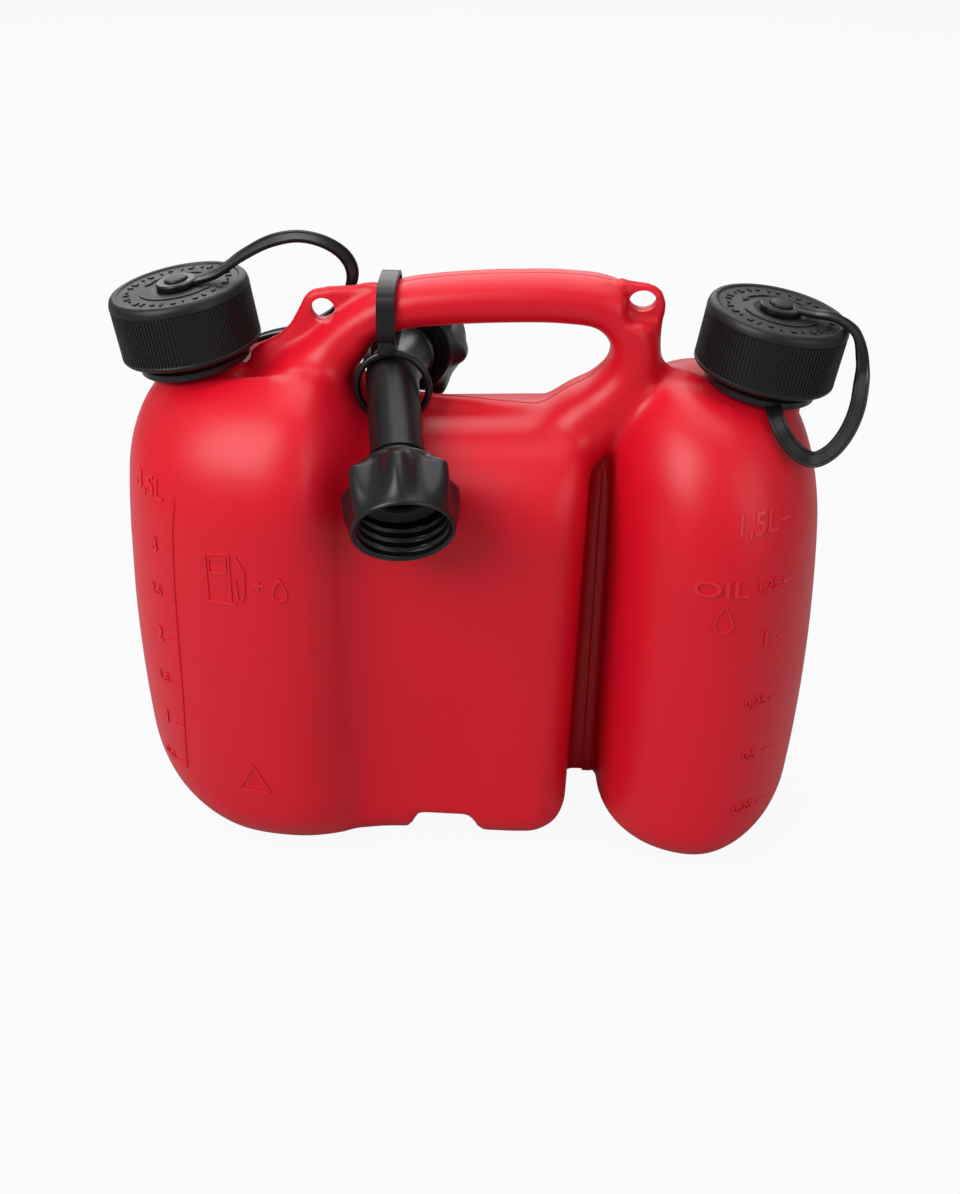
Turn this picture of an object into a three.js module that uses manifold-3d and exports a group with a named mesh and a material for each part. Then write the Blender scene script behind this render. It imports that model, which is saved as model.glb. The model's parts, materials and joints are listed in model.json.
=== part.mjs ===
// Dual fuel and oil can: one blow moulded body with a fuel tank on the left, an oil tank on the
// right and a carrying handle between them, two push and turn caps on tethers, and a short
// elbow spout with a union nut at each end, hung from the handle by a strap.
// Millimetres. X runs along the can, the front is towards negative Y, Z is up from the floor.

import * as THREE from 'three';
import { mergeVertices } from 'three/addons/utils/BufferGeometryUtils.js';
import Module from 'manifold-3d';

const wasm = await Module();
wasm.setup();

// Body
const WALL = 1.9;
const FUEL_LEFT = -150.5;
const PANEL_RIGHT = 51;
const LOBE_DEPTH = 67;
const PANEL_DEPTH = 49;
const LEDGE_Z = 193.9;
const LEDGE_SLOPE = 0.046;
const LOBE_TOP_Z = 210;
const OIL_LEFT = 60.5;
const OIL_RIGHT = 151.3;
const OIL_DEPTH = 66;
const OIL_TOP_Z = 207.2;
const TOP_SLOPE = 0.1638;
const WEB_HALF = 3;
const WEB_BOTTOM_Z = 8.8;
const LUG_HALF = 2.6;
const LUG_HOLE = { x: -61.3, z: 236.7, r: 5.2 };
const OVAL_HOLE = { x: 69.1, z: 244.8, w: 11, h: 8.8 };

// Necks: the frame of each neck stands on the shoulder, with its own Z along the neck
const NECK_TILT = THREE.MathUtils.degToRad(9.3);
const FUEL_NECK = { x: -115.9, z: 209.8, tilt: -NECK_TILT };
const OIL_NECK = { x: OIL_RIGHT - 32.3, z: 207.0, tilt: NECK_TILT };
const NECK_OUTER = 17.4;
const NECK_BORE = 15;
const NECK_TOP = 27;

// Caps, heights along the neck
const CAP_R = 29.4;
const CAP_WALL = 1.9;
const CAP_BOTTOM = 8.6;
const CAP_TOP = 35.5;
const PUSH_TRAVEL = 1.8;
const CORE_R = 23.5;
const CORE_INNER = 18.9;
const SEAL_R = 18.4;
const TETHER_WIDTH = 6.6;
const TETHER_THICK = 1.9;

// Spout
const TUBE_R = 11;
const TUBE_WALL = 1.8;
const BEND_RADIUS = 15;
const ELBOW = new THREE.Vector3(-32.8, -7.8, 212.1);
const FRONT_DIR = new THREE.Vector3(0.141, -0.8726, -0.4683).normalize();
const REAR_DIR = new THREE.Vector3(0.08, 0.979, -0.17).normalize();
const FRONT_NUT_AT = 51;
const REAR_NUT_AT = 43;
const NUT_LENGTH = 28.5;
const NUT_LOBES = 7;
const NUT_TIP = 24.1;
const NUT_RIM = 20.8;
const NUT_BORE = 18.9;
const FLANGE_AT = 7.3;
const FLANGE_THICK = 2.6;
const STRAP_X = -34;
const RING_Y = -14.2;
const STRAP_WIDTH = 7.5;
const STRAP_THICK = 1.8;
const LOOP_Z = 236.9;

const plastic = (color, roughness) => new THREE.MeshStandardMaterial({ color, roughness, metalness: 0 });
const redPlastic = plastic(0xc8141e, 0.42);
const blackPlastic = plastic(0x17171a, 0.45);
const capPlastic = plastic(0x141416, 0.55);
const sealRubber = plastic(0x2a2a2c, 0.8);

const smooth = (a, b, x) => {
  const t = Math.min(1, Math.max(0, (x - a) / (b - a)));
  return t * t * (3 - 2 * t);
};
const mix = (a, b, t) => a + (b - a) * t;
const roundInset = (depth, reach, height) => {
  const t = Math.max(0, 1 - depth / height);
  return reach * (1 - Math.sqrt(Math.max(0, 1 - t * t)));
};

// Turns a geometry into a solid whose faces point out
function solid(geometry) {
  const bare = geometry.clone();
  bare.deleteAttribute('normal');
  bare.deleteAttribute('uv');
  const merged = mergeVertices(bare, 1e-4);
  const p = merged.attributes.position.array;
  const source = merged.index.array;
  const tris = [];
  let volume = 0;
  for (let i = 0; i < source.length; i += 3) {
    const [a, b, c] = [source[i], source[i + 1], source[i + 2]];
    if (a === b || b === c || c === a) continue;
    tris.push(a, b, c);
    const [ax, ay, az] = [p[3 * a], p[3 * a + 1], p[3 * a + 2]];
    const [bx, by, bz] = [p[3 * b], p[3 * b + 1], p[3 * b + 2]];
    const [cx, cy, cz] = [p[3 * c], p[3 * c + 1], p[3 * c + 2]];
    volume += ax * (by * cz - bz * cy) + ay * (bz * cx - bx * cz) + az * (bx * cy - by * cx);
  }
  if (volume < 0) {
    for (let i = 0; i < tris.length; i += 3) {
      [tris[i + 1], tris[i + 2]] = [tris[i + 2], tris[i + 1]];
    }
  }
  return new wasm.Manifold(new wasm.Mesh({
    numProp: 3,
    vertProperties: new Float32Array(p),
    triVerts: new Uint32Array(tris),
  }));
}

function toGeometry(body) {
  const mesh = body.getMesh();
  const geometry = new THREE.BufferGeometry();
  const positions = new Float32Array(mesh.numVert * 3);
  for (let i = 0; i < mesh.numVert; i += 1) {
    for (let k = 0; k < 3; k += 1) positions[3 * i + k] = mesh.vertProperties[mesh.numProp * i + k];
  }
  geometry.setAttribute('position', new THREE.BufferAttribute(positions, 3));
  geometry.setIndex(new THREE.BufferAttribute(new Uint32Array(mesh.triVerts), 1));
  geometry.computeVertexNormals();
  return geometry;
}

const joined = (...bodies) => bodies.reduce((a, b) => a.add(b));

// Skins a list of rings with the same number of points; the ends are closed by a centre point,
// or the last ring meets the first when the skin closes on itself
function skin(rings, closed = false) {
  const n = rings[0].length;
  const positions = [];
  rings.forEach((ring) => ring.forEach((v) => positions.push(v.x, v.y, v.z)));
  const index = [];
  const last = closed ? rings.length : rings.length - 1;
  for (let r = 0; r < last; r += 1) {
    const up = (r + 1) % rings.length;
    for (let i = 0; i < n; i += 1) {
      const j = (i + 1) % n;
      index.push(r * n + i, r * n + j, up * n + j);
      index.push(r * n + i, up * n + j, up * n + i);
    }
  }
  if (!closed) {
    [0, rings.length - 1].forEach((r) => {
      const centre = new THREE.Vector3();
      rings[r].forEach((v) => centre.addScaledVector(v, 1 / n));
      const c = positions.length / 3;
      positions.push(centre.x, centre.y, centre.z);
      for (let i = 0; i < n; i += 1) {
        const j = (i + 1) % n;
        if (r === 0) index.push(c, r * n + j, r * n + i);
        else index.push(c, r * n + i, r * n + j);
      }
    });
  }
  const geometry = new THREE.BufferGeometry();
  geometry.setAttribute('position', new THREE.BufferAttribute(new Float32Array(positions), 3));
  geometry.setIndex(index);
  return geometry;
}

// Skins rings that are mirrored about the mould line, with flat strips across both ends
function mirroredSkin(halfRings) {
  const rings = halfRings.map((half) => {
    const back = half.slice(1, -1).reverse().map((v) => new THREE.Vector3(v.x, -v.y, v.z));
    return [...half, ...back];
  });
  const n = rings[0].length;
  const m = halfRings[0].length;
  const positions = [];
  rings.forEach((ring) => ring.forEach((v) => positions.push(v.x, v.y, v.z)));
  const index = [];
  for (let r = 0; r < rings.length - 1; r += 1) {
    for (let i = 0; i < n; i += 1) {
      const j = (i + 1) % n;
      index.push(r * n + i, r * n + j, (r + 1) * n + j);
      index.push(r * n + i, (r + 1) * n + j, (r + 1) * n + i);
    }
  }
  [0, rings.length - 1].forEach((r) => {
    const mirror = (i) => (i === 0 || i === m - 1 ? i : n - i);
    for (let i = 0; i < m - 1; i += 1) {
      const quad = [i, i + 1, mirror(i + 1), mirror(i)].map((k) => r * n + k);
      const tris = [[quad[0], quad[1], quad[2]], [quad[0], quad[2], quad[3]]];
      tris.forEach((t) => {
        if (new Set(t).size < 3) return;
        if (r === 0) index.push(t[2], t[1], t[0]);
        else index.push(...t);
      });
    }
  });
  const geometry = new THREE.BufferGeometry();
  geometry.setAttribute('position', new THREE.BufferAttribute(new Float32Array(positions), 3));
  geometry.setIndex(index);
  return geometry;
}

// A round section with a squarer or rounder corner, in the plane of two directions
function section(centre, sideDir, upDir, halfSide, halfUp, count, power = 2) {
  const ring = [];
  for (let i = 0; i < count; i += 1) {
    const a = (2 * Math.PI * i) / count;
    const c = Math.cos(a);
    const s = Math.sin(a);
    const x = Math.sign(c) * Math.abs(c) ** (2 / power) * halfSide;
    const y = Math.sign(s) * Math.abs(s) ** (2 / power) * halfUp;
    ring.push(centre.clone().addScaledVector(sideDir, x).addScaledVector(upDir, y));
  }
  return ring;
}

// Sweeps sections along a curve; each station says which way its broad side lies
function sweep(stations, steps, count, power) {
  const curve = new THREE.CatmullRomCurve3(stations.map((s) => s.at));
  const rings = [];
  for (let i = 0; i <= steps; i += 1) {
    const t = i / steps;
    const at = curve.getPoint(t);
    const forward = curve.getTangent(t);
    const k = Math.min(stations.length - 2, Math.floor(t * (stations.length - 1)));
    const ease = smooth(0, 1, t * (stations.length - 1) - k);
    const a = stations[k];
    const b = stations[k + 1];
    const broad = a.broad.clone().lerp(b.broad, ease);
    const up = new THREE.Vector3().crossVectors(forward, broad).normalize();
    const level = new THREE.Vector3().crossVectors(up, forward).normalize();
    rings.push(section(at, level, up, mix(a.side, b.side, ease), mix(a.up, b.up, ease), count, power));
  }
  return skin(rings);
}

// A turned shape about Z from a closed outline of radius and height
function turned(outline, segments) {
  const points = [...outline, outline[0]].map(([r, z]) => new THREE.Vector2(r, z));
  const lathe = new THREE.LatheGeometry(points, segments);
  lathe.rotateX(Math.PI / 2);
  return lathe;
}

function oval(x, z, halfWidth, halfHeight, count) {
  const points = [];
  for (let i = 0; i < count; i += 1) {
    const a = (-2 * Math.PI * i) / count;
    points.push(new THREE.Vector2(x + halfWidth * Math.cos(a), z + halfHeight * Math.sin(a)));
  }
  return points;
}

// A plate in the XZ plane, centred on Y = 0, with oval holes
function plate(points, halfThickness, holes = []) {
  const outline = points.map(([x, z]) => new THREE.Vector2(x, z));
  if (THREE.ShapeUtils.isClockWise(outline)) outline.reverse();
  const shape = new THREE.Shape(outline);
  holes.forEach((hole) => shape.holes.push(new THREE.Path(hole)));
  const extruded = new THREE.ExtrudeGeometry(shape, {
    depth: 2 * halfThickness, bevelEnabled: false, curveSegments: 20,
  });
  extruded.rotateX(Math.PI / 2);
  extruded.translate(0, halfThickness, 0);
  return extruded;
}

// Fuel tank: the bulged lobe runs into the set back panel

const fuelOutline = new THREE.CatmullRomCurve3([
  [-150.5, 0], [-149.4, 12], [-146, 25], [-139, 38.5], [-128, 50], [-113.5, 58.6], [-96, 64.4],
  [-76, 67.3], [-63, 65.6], [-54.6, 60.6], [-48.5, 54.4], [-41, 50.6], [-31, 49], [0, 49], [28, 48.8],
  [39, 47.6], [46.5, 42.5], [50, 34], [51, 22], [51, 0],
].map(([x, y]) => new THREE.Vector3(x, -y, 0)));

const fuelTop = (x) => mix(LOBE_TOP_Z + TOP_SLOPE * (Math.min(x, -74) + 116),
  LEDGE_Z + LEDGE_SLOPE * x, smooth(-66, -36, x));

const FUEL_LOW = [0, 1.5, 5, 11, 20, 34, 60, 112];
const FUEL_HIGH = [62, 44, 29, 17, 8, 3, 0];
const OIL_LOW = [0, 1.5, 5, 11, 20, 34, 60, 110];
const OIL_HIGH = [78, 58, 41, 27, 16, 7, 2, 0];
const INSIDE_LOW = [0, 4, 14, 32, 110];
const INSIDE_HIGH = [62, 40, 20, 7, 0];

const heights = (low, high) => [...low.map((z) => ({ z })), ...high.map((below) => ({ below }))];

function fuelLoft(wall) {
  const levels = wall ? heights(INSIDE_LOW, INSIDE_HIGH) : heights(FUEL_LOW, FUEL_HIGH);
  const outline = fuelOutline.getSpacedPoints(wall ? 15 : 22);
  const halfRings = levels.map(({ z, below }) => outline.map((p) => {
    const top = fuelTop(p.x);
    const height = z === undefined ? top - below : z;
    const fromTop = top - height;
    const lobe = 1 - smooth(-64, -40, p.x);
    const barrel = ((height - 98) / 37) ** 2;
    const left = 0.9 * barrel + roundInset(height, 25, 42) + roundInset(fromTop, 19, 36) + wall;
    const right = 4.5 * (1 - Math.min(1, height / 180)) + roundInset(height, 12, 13)
      + roundInset(fromTop, 6, 22) + wall;
    const lobeIn = 0.35 * barrel + roundInset(height, 20, 24) + roundInset(fromTop, 43, 52) + wall;
    const panelIn = roundInset(height, 12, 13) + roundInset(fromTop, 41.5, 44) + wall;
    const full = mix(PANEL_DEPTH, LOBE_DEPTH, lobe);
    const inset = mix(panelIn, lobeIn, lobe);
    const leftShare = 1 - smooth(FUEL_LEFT, -84, p.x);
    const rightShare = smooth(18, PANEL_RIGHT, p.x);
    const x = p.x + left * leftShare - right * rightShare;
    const level = z === undefined ? fuelTop(x) - below : z;
    const lift = wall * (z === undefined ? -1 + below / 62 : 1 - z / 112);
    return new THREE.Vector3(x, p.y * (1 - inset / full), level + lift);
  }));
  return mirroredSkin(halfRings);
}

// Oil tank: an upright bottle with round shoulders

const oilTop = (x) => OIL_TOP_Z - TOP_SLOPE * (x - 117.5);

function oilLoft(wall) {
  const middle = (OIL_LEFT + OIL_RIGHT) / 2;
  const halfWidth = (OIL_RIGHT - OIL_LEFT) / 2;
  const levels = wall ? heights(INSIDE_LOW, INSIDE_HIGH) : heights(OIL_LOW, OIL_HIGH);
  const count = wall ? 10 : 14;
  const halfRings = levels.map(({ z, below }) => {
    const half = [];
    for (let i = 0; i <= count; i += 1) {
      const a = Math.PI * (1 - i / count);
      const ux = Math.sign(Math.cos(a)) * Math.abs(Math.cos(a)) ** (2 / 2.15);
      const uy = Math.sin(a) ** (2 / 2.15);
      const outerX = middle + halfWidth * ux;
      const top = oilTop(outerX);
      const height = z === undefined ? top - below : z;
      const fromTop = top - height;
      const barrel = ((height - 95) / 45) ** 2;
      const left = roundInset(height, 7, 11) + roundInset(fromTop, 23, 46) + wall;
      const right = 1.3 * barrel + roundInset(height, 21, 30) + roundInset(fromTop, 16, 50) + wall;
      const inset = 0.5 * barrel + roundInset(height, 18, 20) + roundInset(fromTop, 42, 72) + wall;
      const leftShare = 1 - smooth(OIL_LEFT, middle + 15, outerX);
      const rightShare = smooth(middle - 15, OIL_RIGHT, outerX);
      const x = outerX + left * leftShare - right * rightShare;
      const level = z === undefined ? oilTop(x) - below : z;
      const lift = wall * (z === undefined ? -1 + below / 62 : 1 - z / 110);
      half.push(new THREE.Vector3(x, -(OIL_DEPTH - inset) * uy, level + lift));
    }
    return half;
  });
  return mirroredSkin(halfRings);
}

// Handle: one swept tube, broad where it grows out of the lobe and of the panel's right side

const ACROSS = new THREE.Vector3(0, 1, 0);
const handleLine = [
  [-97, 160, 38, 24], [-82, 184, 34, 22], [-67.5, 205, 22, 16.5], [-55, 221.2, 15, 11.2],
  [-44, 232.8, 14, 9], [-30, 239.2, 14, 9.3], [-8, 242.7, 14, 9.7], [15, 244.4, 14, 9.8],
  [38, 244.8, 14, 9.9], [55.5, 242, 14, 10], [65.6, 231.4, 14.3, 10], [67, 217, 15, 10.8],
  [60.8, 203.4, 17, 13.4], [48, 191, 21, 16.5], [33, 178, 27, 18],
].map(([x, z, side, up]) => ({ at: new THREE.Vector3(x, 0, z), broad: ACROSS, side, up }));

function neckMatrix(neck) {
  return new THREE.Matrix4().makeRotationY(neck.tilt).setPosition(neck.x, 0, neck.z);
}

function notch(grow) {
  return plate([
    [-26.5 - grow, -5], [-25.5 - grow, 0], [-20 - grow, 13.6 + grow], [3.4 + grow, 13.6 + grow],
    [9.6 + grow, 0], [10.6 + grow, -5],
  ], 80);
}

function canShell() {
  const outer = joined(
    solid(fuelLoft(0)),
    solid(oilLoft(0)),
  ).subtract(solid(notch(0)));

  const circleHole = oval(LUG_HOLE.x, LUG_HOLE.z, LUG_HOLE.r, LUG_HOLE.r, 20);
  const leftLug = plate([
    [-93, 206], [-93, 217], [-88.4, 220.6], [-81.1, 224.4], [-76.4, 228.2], [-72.4, 235],
    [-68.9, 242], [-65.4, 244.8], [-61, 245.6], [-50, 246.6], [-39, 248.6], [-34, 244], [-48, 222],
    [-66, 200],
  ], LUG_HALF, [circleHole]);

  const ovalHole = oval(OVAL_HOLE.x, OVAL_HOLE.z, OVAL_HOLE.w / 2, OVAL_HOLE.h / 2, 20);
  const rightLug = plate([
    [62, 236], [56, 251], [60, 252.9], [67.6, 251.6], [73.6, 250.6], [77.4, 247.4], [78.7, 242.4],
    [77.6, 232], [77.5, 222.5], [79.3, 217.8], [83.3, 215.2], [89, 214.2], [96, 212], [96, 190],
    [66, 190], [64, 205], [66, 222],
  ], LUG_HALF, [ovalHole]);
  const web = plate([
    [40, WEB_BOTTOM_Z], [72, WEB_BOTTOM_Z], [72, 198], [60, 200], [40, 180],
  ], WEB_HALF);
  const ridge = plate([
    [54.2, WEB_BOTTOM_Z], [58.8, WEB_BOTTOM_Z], [60.8, 178], [56.2, 178],
  ], WEB_HALF + 1);

  const pocket = plate([
    [62.2, 237.6], [75, 236.2], [84, 238], [84, 256], [64.5, 256], [61.6, 250],
  ], 40);
  const handle = solid(sweep(handleLine, 26, 14, 2.4))
    .subtract(solid(pocket));

  const neck = (place) => solid(turned([
    [0, -14], [NECK_OUTER + 1.6, -14], [NECK_OUTER + 1.6, -0.4], [NECK_OUTER, 0.6],
    [NECK_OUTER, NECK_TOP - 0.8], [NECK_OUTER - 0.8, NECK_TOP], [0, NECK_TOP],
  ], 26).applyMatrix4(neckMatrix(place)));
  const bore = (place) => solid(turned([
    [0, -22], [NECK_BORE, -22], [NECK_BORE, NECK_TOP + 4], [0, NECK_TOP + 4],
  ], 20).applyMatrix4(neckMatrix(place)));

  const handleHollow = solid(sweep(handleLine.slice(1, 12).map((s) => ({
    at: s.at, broad: ACROSS, side: s.side - WALL, up: s.up - WALL,
  })), 14, 8, 2.4)).subtract(solid(plate([
    [58, 200], [58, 262], [100, 262], [100, 200],
  ], 40)));

  const cavity = joined(
    solid(fuelLoft(WALL)).subtract(solid(notch(WALL))),
    handleHollow,
    bore(FUEL_NECK),
  );
  const oilCavity = solid(oilLoft(WALL)).add(bore(OIL_NECK));

  return joined(outer, handle, solid(leftLug), solid(rightLug), solid(web), solid(ridge),
    neck(FUEL_NECK), neck(OIL_NECK)).subtract(cavity).subtract(oilCavity);
}

// Caps

function sealDisc() {
  return turned([
    [0, NECK_TOP + 0.3], [SEAL_R, NECK_TOP + 0.3], [SEAL_R, NECK_TOP + 1.3], [0, NECK_TOP + 1.3],
  ], 26);
}

function capCore() {
  const roof = NECK_TOP + 1.6;
  return turned([
    [0, roof], [CORE_INNER, roof], [CORE_INNER, CAP_BOTTOM + 1.6], [CAP_R - CAP_WALL - 0.3, CAP_BOTTOM + 1.6],
    [CAP_R - CAP_WALL - 0.3, CAP_BOTTOM + 4.2], [CORE_R, CAP_BOTTOM + 5.4], [CORE_R, roof + 1.2],
    [CORE_R - 1, roof + 2], [0, roof + 2],
  ], 28);
}

function capCover() {
  const ceiling = CAP_TOP - 2.2;
  return turned([
    [0, ceiling], [CAP_R - CAP_WALL, ceiling], [CAP_R - CAP_WALL, CAP_BOTTOM + 1],
    [CAP_R - CAP_WALL + 0.6, CAP_BOTTOM], [CAP_R - 0.5, CAP_BOTTOM], [CAP_R + 0.2, CAP_BOTTOM + 1.2],
    [CAP_R, CAP_TOP - 3], [CAP_R - 0.4, CAP_TOP - 0.8], [CAP_R - 1.3, CAP_TOP], [CAP_R - 3, CAP_TOP],
    [CAP_R - 3.8, CAP_TOP - 0.6], [4.6, CAP_TOP - 0.6], [4.6, CAP_TOP + 2.6], [3.6, CAP_TOP + 3.2],
    [0, CAP_TOP + 3.2],
  ], 32);
}

// A tether is one moulding: a ring round the neck, a ribbon, and a pad with an eye on the cap's stud
function tether(neck, line) {
  const matrix = neckMatrix(neck);
  const ring = solid(turned([
    [NECK_OUTER + 0.35, 1.9], [23.2, 1.9], [23.2, 4.9], [22.6, 5.5], [NECK_OUTER + 0.35, 5.5],
  ], 24).applyMatrix4(matrix));
  const pad = solid(turned([
    [4.9, CAP_TOP - 0.3], [8.6, CAP_TOP - 0.3], [8.6, CAP_TOP + 1.6], [8.1, CAP_TOP + 2.1],
    [4.9, CAP_TOP + 2.1],
  ], 18).applyMatrix4(matrix));
  const stations = line.map(([x, y, z, bx, by, bz]) => ({
    at: new THREE.Vector3(x, y, z),
    broad: new THREE.Vector3(bx, by, bz),
    side: TETHER_WIDTH / 2,
    up: TETHER_THICK / 2,
  }));
  const ribbon = solid(sweep(stations, 30, 8, 5));
  return joined(ring, pad, ribbon);
}

// Each station: a point of the ribbon, then the direction of its broad side there
const fuelTetherLine = [
  [-115.6, 0, 246.4, 0, 1, 0.1], [-105, 0.8, 250, 0, 1, 0.25], [-94, 3, 257.2, 0, 1, 0.35],
  [-83, 6.6, 262.2, 0, 1, 0.4], [-72, 10.5, 263.2, 0, 1, 0.3], [-61.4, 14, 259.6, 0.25, 1, 0.2],
  [-54, 17.2, 252.8, 0.5, 1, 0], [-51.6, 19.6, 244.6, 0.6, 1, 0], [-54.4, 20.4, 235.4, 0.5, 1, 0],
  [-62, 19.6, 227.4, 0.3, 1, 0], [-74, 16, 221.6, 0.2, 1, 0], [-86.5, 12.6, 219.4, 0.2, 1, 0],
  [-97, 9.6, 216.4, 0.2, 1, 0],
];

const oilTetherLine = [
  [OIL_NECK.x + 12.6, -1.6, 242.6, 0.1, 1, 0], [OIL_NECK.x + 18.6, -3.4, 242, 0.1, 1, 0],
  [OIL_NECK.x + 26.8, -6, 241.6, 0.15, 1, 0], [OIL_NECK.x + 35.2, -9.6, 237, 0.4, 1, 0],
  [OIL_NECK.x + 38.6, -14, 226.8, 0.8, 0.8, 0], [OIL_NECK.x + 38.6, -18.4, 217, 1, 0.2, 0],
  [OIL_NECK.x + 37.2, -22.4, 208, 1, 0, -0.25], [OIL_NECK.x + 33.2, -27, 199.6, 0.8, -0.2, -0.6],
  [OIL_NECK.x + 27.4, -31, 193.8, 0.4, -0.4, -1], [OIL_NECK.x + 21.2, -33.4, 191.6, 0.05, -0.45, -1],
  [OIL_NECK.x + 14.8, -35.4, 195, -0.5, -0.4, -0.9], [OIL_NECK.x + 9.2, -34.4, 200.4, -0.8, -0.3, -0.5],
  [OIL_NECK.x + 5.4, -29, 206.2, -1, -0.1, -0.4], [OIL_NECK.x + 3.4, -20.6, 210.4, -1, 0, -0.1],
];

// Spout

function tubePath(inner) {
  const bend = BEND_RADIUS * Math.tan(Math.acos(-FRONT_DIR.dot(REAR_DIR)) / 2);
  const frontEnd = FRONT_NUT_AT + FLANGE_AT + FLANGE_THICK - 0.4 + (inner ? 3 : 0);
  const rearEnd = REAR_NUT_AT + FLANGE_AT + FLANGE_THICK - 0.4 + (inner ? 3 : 0);
  const at = (dir, d) => ELBOW.clone().addScaledVector(dir, d);
  const points = [at(FRONT_DIR, frontEnd), at(FRONT_DIR, bend)];
  const start = at(FRONT_DIR, bend);
  const end = at(REAR_DIR, bend);
  const arc = new THREE.QuadraticBezierCurve3(start, ELBOW, end);
  for (let i = 1; i < 7; i += 1) points.push(arc.getPoint(i / 7));
  points.push(end, at(REAR_DIR, rearEnd));
  return points;
}

function pipe(points, radius, count) {
  const normal = new THREE.Vector3().crossVectors(FRONT_DIR, REAR_DIR).normalize();
  const rings = points.map((p, i) => {
    const before = points[Math.max(0, i - 1)];
    const after = points[Math.min(points.length - 1, i + 1)];
    const forward = after.clone().sub(before).normalize();
    const up = new THREE.Vector3().crossVectors(forward, normal).normalize();
    return section(p, normal, up, radius, radius, count);
  });
  return skin(rings);
}

function alongAxis(dir, distance) {
  const turn = new THREE.Quaternion().setFromUnitVectors(new THREE.Vector3(0, 0, 1), dir);
  const place = ELBOW.clone().addScaledVector(dir, distance);
  return new THREE.Matrix4().compose(place, turn, new THREE.Vector3(1, 1, 1));
}

function spoutTube() {
  const flange = (dir, at) => solid(turned([
    [0, FLANGE_AT], [17.4, FLANGE_AT], [17.8, FLANGE_AT + 0.5], [17.8, FLANGE_AT + FLANGE_THICK],
    [0, FLANGE_AT + FLANGE_THICK],
  ], 24).applyMatrix4(alongAxis(dir, at)));
  return joined(
    solid(pipe(tubePath(false), TUBE_R, 18)),
    flange(FRONT_DIR, FRONT_NUT_AT),
    flange(REAR_DIR, REAR_NUT_AT),
  ).subtract(solid(pipe(tubePath(true), TUBE_R - TUBE_WALL, 14)));
}

function unionNut() {
  const count = NUT_LOBES * 4;
  const ring = (z, valley, tip) => {
    const points = [];
    for (let i = 0; i < count; i += 1) {
      const a = (2 * Math.PI * i) / count;
      const wave = 0.5 + 0.5 * Math.cos(NUT_LOBES * a);
      const r = valley + (tip - valley) * wave ** 1.6;
      points.push(new THREE.Vector3(r * Math.cos(a), r * Math.sin(a), z));
    }
    return points;
  };
  const round = (z, r) => ring(z, r, r);
  return skin([
    round(0, 17.6), ring(2.4, 18.2, 19.4), ring(6.6, 19.2, NUT_TIP), ring(13, 19.8, NUT_TIP - 0.2),
    ring(20, 20.2, 22.9), round(NUT_LENGTH - 2, NUT_RIM), round(NUT_LENGTH, NUT_RIM - 0.2),
    round(NUT_LENGTH, NUT_BORE), round(FLANGE_AT - 0.3, NUT_BORE), round(FLANGE_AT - 0.3, TUBE_R + 0.4),
    round(0, TUBE_R + 0.4),
  ], true);
}

function flatSeal() {
  const low = FLANGE_AT + FLANGE_THICK + 0.3;
  return turned([[10.4, low], [17.4, low], [17.4, low + 1.8], [10.4, low + 1.8]], 24);
}

function spoutStrap() {
  const half = STRAP_WIDTH / 2;
  const rising = new THREE.Vector3(0, 0, 1);
  const bandEdge = (grow) => section(new THREE.Vector3(0, 0, LOOP_Z), ACROSS, rising, 15.2 + grow,
    12.7 + grow, 28, 3).map((p) => new THREE.Vector2(p.y, p.z));
  const loopShape = new THREE.Shape(bandEdge(STRAP_THICK));
  loopShape.holes.push(new THREE.Path(bandEdge(0).reverse()));
  const loop = new THREE.ExtrudeGeometry(loopShape, { depth: STRAP_WIDTH, bevelEnabled: false });
  loop.applyMatrix4(new THREE.Matrix4().makeBasis(
    new THREE.Vector3(0, 1, 0), new THREE.Vector3(0, 0, 1), new THREE.Vector3(1, 0, 0),
  ));
  loop.translate(STRAP_X - half, 0, 0);

  const cross = ELBOW.clone().addScaledVector(FRONT_DIR, (RING_Y - ELBOW.y) / FRONT_DIR.y);
  const ring = turned([[13.6, -1.1], [15.8, -1.1], [15.8, 1.1], [13.6, 1.1]], 28);
  ring.rotateX(Math.PI / 2);
  ring.translate(cross.x, RING_Y, cross.z);

  const head = new THREE.BoxGeometry(STRAP_WIDTH, 4.4, 6.6);
  head.translate(STRAP_X, RING_Y + 0.6, cross.z + 17.2);
  return joined(solid(loop), solid(ring), solid(head));
}

// Assembly

const can = new THREE.Group();

function add(parent, name, geometry, material) {
  const mesh = new THREE.Mesh(geometry, material);
  mesh.name = name;
  parent.add(mesh);
  return mesh;
}

add(can, 'can_shell', toGeometry(canShell()), redPlastic);

[['fuel', FUEL_NECK], ['oil', OIL_NECK]].forEach(([side, place]) => {
  const cap = new THREE.Group();
  cap.position.set(place.x, 0, place.z);
  cap.rotation.y = place.tilt;
  can.add(cap);
  add(cap, `${side}_cap_seal`, toGeometry(solid(sealDisc())), sealRubber);
  add(cap, `${side}_cap_core`, toGeometry(solid(capCore())), blackPlastic);
  add(cap, `${side}_cap_cover`, toGeometry(solid(capCover())), capPlastic);
});

add(can, 'fuel_cap_tether', toGeometry(tether(FUEL_NECK, fuelTetherLine)), blackPlastic);
add(can, 'oil_cap_tether', toGeometry(tether(OIL_NECK, oilTetherLine)), blackPlastic);

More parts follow.
